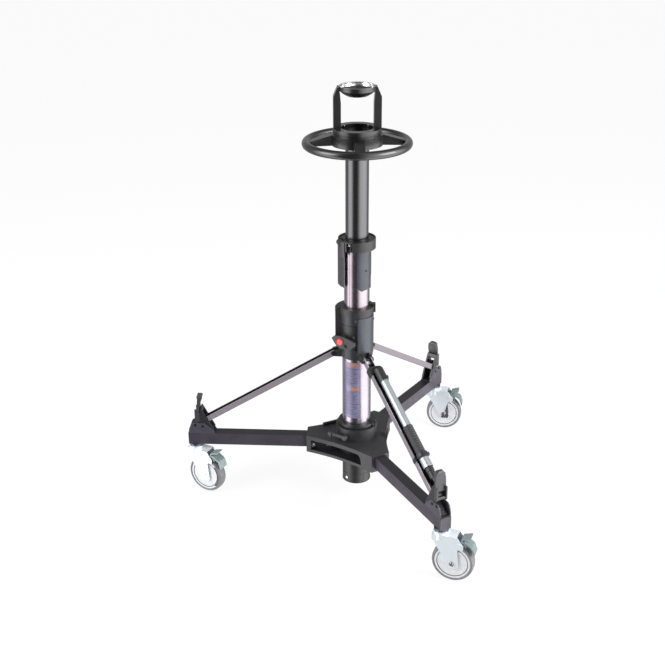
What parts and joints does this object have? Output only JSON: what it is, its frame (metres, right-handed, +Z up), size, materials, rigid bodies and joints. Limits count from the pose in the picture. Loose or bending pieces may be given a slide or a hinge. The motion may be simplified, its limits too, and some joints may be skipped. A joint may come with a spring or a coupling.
{
  "type": "camera pedestal",
  "caption": "Camera pedestal: telescoping column on a three-armed rolling dolly with braces, hand pump, steering ring and bowl head.",
  "frame": {"origin": "on the floor, on the column's axis", "axes": "+Z up along the column; +X to the right, +Y to the back, with the dolly's arms at 180, 300 and 60 degrees from +X"},
  "size_m": [0.9222, 0.9821, 1.333],
  "materials": {
    "hub_paint": "satin",
    "arm_paint": "satin",
    "black_plastic": "matte",
    "bracket_paint": "satin",
    "zinc": "satin",
    "bolt_steel": "satin",
    "lever_paint": "satin",
    "tube_anodised": "satin",
    "mid_anodised": "satin",
    "black_anodised": "satin",
    "collar_anodised": "satin",
    "cover_grey": "satin",
    "bush_plastic": "matte",
    "black_paint": "gloss",
    "brass": "satin",
    "button_red": "gloss",
    "seal_rubber": "matte",
    "brace_anodised": "satin",
    "grip_rubber": "matte",
    "tyre_grey": "matte",
    "wheel_grey": "satin",
    "pedal_zinc": "satin"
  },
  "bodies": {
    "dolly": {"hub_casting": "hub_paint", "hub_clamp_ring": "black_paint", "arm_left": "arm_paint", "arm_front": "arm_paint", "arm_back": "arm_paint", "arm_end_caps": "black_plastic", "arm_brackets": "bracket_paint", "dolly_bolts": "bolt_steel", "base_tube": "tube_anodised", "base_foot_cap": "black_paint", "air_valve": "brass", "lower_collar": "collar_anodised", "lower_bush": "black_plastic", "collar_cover": "cover_grey", "collar_fasteners": "bolt_steel", "caster_stems": "zinc"},
    "hub_lever": {"hub_lever": "lever_paint"},
    "mid_stage": {"mid_tube": "mid_anodised", "mid_guide_ring": "bush_plastic", "upper_collar": "collar_anodised", "upper_bush": "black_plastic", "collar_shield": "cover_grey", "upper_collar_bolts": "bolt_steel"},
    "stage_lever": {"stage_lever": "lever_paint"},
    "rise_stage": {"piston": "tube_anodised", "piston_seal": "seal_rubber", "upper_tube": "black_anodised"},
    "head": {"steering_wheel": "black_paint", "head_fork": "black_paint", "bowl": "black_paint", "head_screws": "bolt_steel"},
    "lock_lever": {"lock_lever": "lever_paint", "button_spring": "bolt_steel"},
    "lock_button": {"lock_button": "button_red"},
    "brace_left": {"brace_left": "brace_anodised", "brace_shoe_left": "black_paint"},
    "brace_front": {"brace_front": "brace_anodised", "brace_shoe_front": "black_paint", "pump_tube": "zinc", "pump_head": "black_plastic", "pump_clip": "black_plastic"},
    "brace_back": {"brace_back": "brace_anodised", "brace_shoe_back": "black_paint"},
    "pump_handle": {"pump_grip": "grip_rubber", "pump_end": "zinc"},
    "clamp_lever_left": {"clamp_lever_left": "lever_paint"},
    "clamp_lever_front": {"clamp_lever_front": "lever_paint"},
    "clamp_lever_back": {"clamp_lever_back": "lever_paint"},
    "swivel_left": {"caster_fork_left": "zinc"},
    "wheel_left": {"tyre_left": "tyre_grey", "wheel_centre_left": "wheel_grey"},
    "brake_pedal_left": {"brake_pedal_left": "pedal_zinc"},
    "swivel_front": {"caster_fork_front": "zinc"},
    "wheel_front": {"tyre_front": "tyre_grey", "wheel_centre_front": "wheel_grey"},
    "brake_pedal_front": {"brake_pedal_front": "pedal_zinc"},
    "swivel_back": {"caster_fork_back": "zinc"},
    "wheel_back": {"tyre_back": "tyre_grey", "wheel_centre_back": "wheel_grey"},
    "brake_pedal_back": {"brake_pedal_back": "pedal_zinc"}
  },
  "joints": [
    {"name": "mid_slide", "type": "slide", "parent": "dolly", "child": "mid_stage", "axis": [0, 0, 1], "range_m": [-0.055, 0.25]},
    {"name": "rise_slide", "type": "slide", "parent": "mid_stage", "child": "rise_stage", "axis": [0, 0, 1], "range_m": [-0.26, 0.12]},
    {"name": "head_turn", "type": "hinge", "parent": "rise_stage", "child": "head", "pos_m": [0, 0, 1.18], "axis": [0, 0, 1], "continuous": true},
    {"name": "stage_lever_swing", "type": "hinge", "parent": "mid_stage", "child": "stage_lever", "pos_m": [-0.04886, -0.01778, 0.868], "axis": [-0.342, 0.9397, 0], "range_deg": [0, 90]},
    {"name": "hub_lever_swing", "type": "hinge", "parent": "dolly", "child": "hub_lever", "pos_m": [-0.03286, -0.06181, 0.23], "axis": [0.4695, 0.8829, 0], "range_deg": [0, 60]},
    {"name": "lock_lever_swing", "type": "hinge", "parent": "dolly", "child": "lock_lever", "pos_m": [-0.03026, -0.04903, 0.545], "axis": [0.4695, 0.8829, 0], "range_deg": [0, 40]},
    {"name": "lock_button_press", "type": "slide", "parent": "lock_lever", "child": "lock_button", "axis": [0.4695, 0.8829, 0], "range_m": [0, 0.003], "stiffness_N_per_m": 300, "springref_m": -0.004, "deforming": ["button_spring"]},
    {"name": "brace_left_hinge", "type": "hinge", "parent": "dolly", "child": "brace_left", "pos_m": [-0.07, 0, 0.5029], "axis": [0, 1, 0], "range_deg": [0, 90]},
    {"name": "brace_front_hinge", "type": "hinge", "parent": "dolly", "child": "brace_front", "pos_m": [0.035, -0.06062, 0.5029], "axis": [-0.866, -0.5, 0], "range_deg": [0, 90]},
    {"name": "brace_back_hinge", "type": "hinge", "parent": "dolly", "child": "brace_back", "pos_m": [0.035, 0.06062, 0.5029], "axis": [0.866, -0.5, 0], "range_deg": [0, 90]},
    {"name": "clamp_lever_left_swing", "type": "hinge", "parent": "brace_left", "child": "clamp_lever_left", "pos_m": [-0.514, 0, 0.257], "axis": [0, -1, 0], "range_deg": [0, 75]},
    {"name": "clamp_lever_front_swing", "type": "hinge", "parent": "brace_front", "child": "clamp_lever_front", "pos_m": [0.257, -0.44514, 0.257], "axis": [0.866, 0.5, 0], "range_deg": [0, 75]},
    {"name": "clamp_lever_back_swing", "type": "hinge", "parent": "brace_back", "child": "clamp_lever_back", "pos_m": [0.257, 0.44514, 0.257], "axis": [-0.866, 0.5, 0], "range_deg": [0, 75]},
    {"name": "pump_stroke", "type": "slide", "parent": "brace_front", "child": "pump_handle", "axis": [-0.4295, 0.7439, 0.5121], "range_m": [0, 0.1]},
    {"name": "caster_left_swivel", "type": "hinge", "parent": "dolly", "child": "swivel_left", "pos_m": [-0.524, 0, 0.152], "axis": [0, 0, 1], "continuous": true},
    {"name": "caster_left_spin", "type": "hinge", "parent": "swivel_left", "child": "wheel_left", "pos_m": [-0.4888, -0.01679, 0.0625], "axis": [0.4305, 0.9026, 0], "continuous": true},
    {"name": "caster_left_brake", "type": "hinge", "parent": "swivel_left", "child": "brake_pedal_left", "pos_m": [-0.47346, -0.02411, 0.1295], "axis": [0.4305, 0.9026, 0], "range_deg": [0, 9]},
    {"name": "caster_front_swivel", "type": "hinge", "parent": "dolly", "child": "swivel_front", "pos_m": [0.262, -0.4538, 0.152], "axis": [0, 0, 1], "continuous": true},
    {"name": "caster_front_spin", "type": "hinge", "parent": "swivel_front", "child": "wheel_front", "pos_m": [0.29938, -0.46494, 0.0625], "axis": [0.2857, 0.9583, 0], "continuous": true},
    {"name": "caster_front_brake", "type": "hinge", "parent": "swivel_front", "child": "brake_pedal_front", "pos_m": [0.31567, -0.4698, 0.1295], "axis": [0.2857, 0.9583, 0], "range_deg": [0, 9]},
    {"name": "caster_back_swivel", "type": "hinge", "parent": "dolly", "child": "swivel_back", "pos_m": [0.262, 0.4538, 0.152], "axis": [0, 0, 1], "continuous": true},
    {"name": "caster_back_spin", "type": "hinge", "parent": "swivel_back", "child": "wheel_back", "pos_m": [0.30069, 0.44891, 0.0625], "axis": [0.1253, 0.9921, 0], "continuous": true},
    {"name": "caster_back_brake", "type": "hinge", "parent": "swivel_back", "child": "brake_pedal_back", "pos_m": [0.31756, 0.44678, 0.1295], "axis": [0.1253, 0.9921, 0], "range_deg": [0, 9]}
  ]
}
